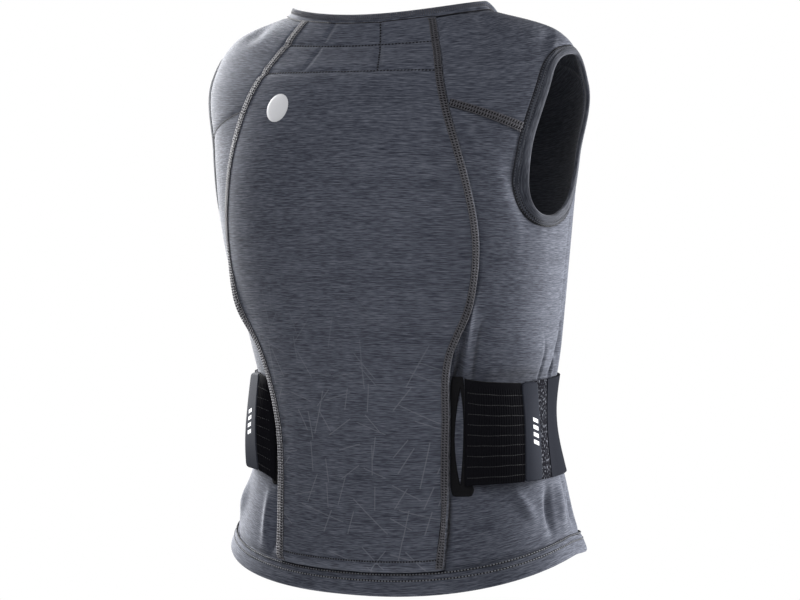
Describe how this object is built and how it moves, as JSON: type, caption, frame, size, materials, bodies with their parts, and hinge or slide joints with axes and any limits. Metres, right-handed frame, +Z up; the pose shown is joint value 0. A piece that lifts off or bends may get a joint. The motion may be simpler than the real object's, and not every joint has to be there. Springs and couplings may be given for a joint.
{
  "type": "body protector vest",
  "caption": "Sleeveless jersey vest with a soft back protector pad, bound neck and armholes, turned hem and a wide ribbed waist belt closed by grip tabs.",
  "frame": {"origin": "the middle of the neck opening at the height where the vest sits on the shoulders", "axes": "+Z up along the body, +Y to the wearer's back, +X to the wearer's left"},
  "size_m": [0.3316, 0.2654, 0.4911],
  "materials": {
    "jersey": "melange knit, matt",
    "binding": "folded knit band, matt",
    "anchor": "bonded film, satin",
    "elastic": "ribbed elastic web",
    "tab": "smooth moulded grip",
    "loop": "rough loop pile",
    "zip": "plain closure strip"
  },
  "bodies": {
    "root": {"back_pad": "jersey", "side_back_left": "jersey", "side_back_right": "jersey", "yoke_left": "jersey", "yoke_right": "jersey", "front_left": "jersey", "front_right": "jersey", "front_zip": "zip", "neck_binding": "binding", "armhole_binding_left": "binding", "armhole_binding_right": "binding", "hem_band": "jersey", "belt_anchor_left": "anchor", "belt_anchor_right": "anchor", "belt_elastic_left": "elastic", "belt_elastic_right": "elastic", "belt_tab_left": "tab", "belt_tab_right": "tab", "belt_loop_left": "loop", "belt_loop_right": "loop", "belt_front": "elastic"}
  },
  "joints": []
}
